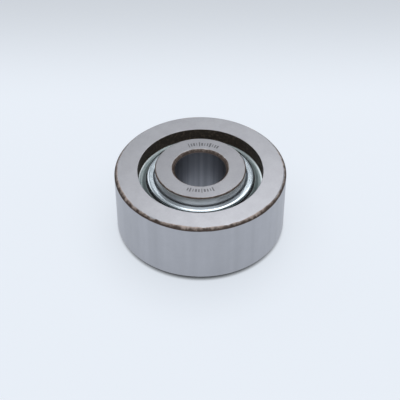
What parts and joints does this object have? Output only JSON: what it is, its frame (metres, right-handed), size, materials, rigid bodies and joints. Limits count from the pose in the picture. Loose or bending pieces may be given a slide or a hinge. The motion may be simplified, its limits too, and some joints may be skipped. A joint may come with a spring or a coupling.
{
  "type": "cam follower",
  "caption": "Sealed ball-bearing cam follower: a thick, wide outer ring with a plain cylindrical tread turns on balls round an inner ring that stands slightly proud and is clamped on a pin.",
  "frame": {"origin": "centre of the bearing: on the bore's axis, half way between the two faces of the inner ring", "axes": "+Z along the bore; +X and +Y are in the plane of the balls, with a ball's centre on +X"},
  "size_m": [0.0636, 0.0634, 0.027],
  "materials": {
    "ground_steel": "hardened bearing steel, ground faces, tread and bore, with brown heat scale left on the chamfers and the recess",
    "ball_steel": "polished bearing steel",
    "cage_steel": "pressed sheet steel",
    "plated_seal": "pressed steel with greenish zinc plating",
    "bright_zinc": "pressed steel with bright zinc plating",
    "nitrile": "matt black nitrile rubber"
  },
  "bodies": {
    "inner": {"inner_ring": "ground_steel", "upper_flinger": "bright_zinc", "lower_flinger": "bright_zinc"},
    "outer": {"outer_ring": "ground_steel", "upper_seal_plate": "plated_seal", "lower_seal_plate": "plated_seal", "upper_seal_lip": "nitrile", "lower_seal_lip": "nitrile"},
    "cage": {"cage_upper": "cage_steel", "cage_lower": "cage_steel", "cage_rivets": "cage_steel"},
    "ball_1": {"ball_1": "ball_steel"},
    "ball_2": {"ball_2": "ball_steel"},
    "ball_3": {"ball_3": "ball_steel"},
    "ball_4": {"ball_4": "ball_steel"},
    "ball_5": {"ball_5": "ball_steel"},
    "ball_6": {"ball_6": "ball_steel"},
    "ball_7": {"ball_7": "ball_steel"},
    "ball_8": {"ball_8": "ball_steel"},
    "ball_9": {"ball_9": "ball_steel"}
  },
  "joints": [
    {"name": "outer_ring_spin", "type": "hinge", "parent": "inner", "child": "outer", "pos_m": [0, 0, 0], "axis": [0, 0, 1], "continuous": true},
    {"name": "cage_orbit", "type": "hinge", "parent": "inner", "child": "cage", "pos_m": [0, 0, 0], "axis": [0, 0, 1], "continuous": true},
    {"name": "ball_1_spin", "type": "hinge", "parent": "cage", "child": "ball_1", "pos_m": [0.01952, 0, 0], "axis": [0, 0, 1], "continuous": true},
    {"name": "ball_2_spin", "type": "hinge", "parent": "cage", "child": "ball_2", "pos_m": [0.01495, 0.01255, 0], "axis": [0, 0, 1], "continuous": true},
    {"name": "ball_3_spin", "type": "hinge", "parent": "cage", "child": "ball_3", "pos_m": [0.00339, 0.01922, 0], "axis": [0, 0, 1], "continuous": true},
    {"name": "ball_4_spin", "type": "hinge", "parent": "cage", "child": "ball_4", "pos_m": [-0.00976, 0.0169, 0], "axis": [0, 0, 1], "continuous": true},
    {"name": "ball_5_spin", "type": "hinge", "parent": "cage", "child": "ball_5", "pos_m": [-0.01834, 0.00668, 0], "axis": [0, 0, 1], "continuous": true},
    {"name": "ball_6_spin", "type": "hinge", "parent": "cage", "child": "ball_6", "pos_m": [-0.01834, -0.00668, 0], "axis": [0, 0, 1], "continuous": true},
    {"name": "ball_7_spin", "type": "hinge", "parent": "cage", "child": "ball_7", "pos_m": [-0.00976, -0.0169, 0], "axis": [0, 0, 1], "continuous": true},
    {"name": "ball_8_spin", "type": "hinge", "parent": "cage", "child": "ball_8", "pos_m": [0.00339, -0.01922, 0], "axis": [0, 0, 1], "continuous": true},
    {"name": "ball_9_spin", "type": "hinge", "parent": "cage", "child": "ball_9", "pos_m": [0.01495, -0.01255, 0], "axis": [0, 0, 1], "continuous": true}
  ],
  "couplings": [
    {"joint": "cage_orbit", "follows": "outer_ring_spin", "ratio": 0.60166},
    {"joint": "ball_1_spin", "follows": "outer_ring_spin", "ratio": 2.3576},
    {"joint": "ball_2_spin", "follows": "outer_ring_spin", "ratio": 2.3576},
    {"joint": "ball_3_spin", "follows": "outer_ring_spin", "ratio": 2.3576},
    {"joint": "ball_4_spin", "follows": "outer_ring_spin", "ratio": 2.3576},
    {"joint": "ball_5_spin", "follows": "outer_ring_spin", "ratio": 2.3576},
    {"joint": "ball_6_spin", "follows": "outer_ring_spin", "ratio": 2.3576},
    {"joint": "ball_7_spin", "follows": "outer_ring_spin", "ratio": 2.3576},
    {"joint": "ball_8_spin", "follows": "outer_ring_spin", "ratio": 2.3576},
    {"joint": "ball_9_spin", "follows": "outer_ring_spin", "ratio": 2.3576}
  ]
}
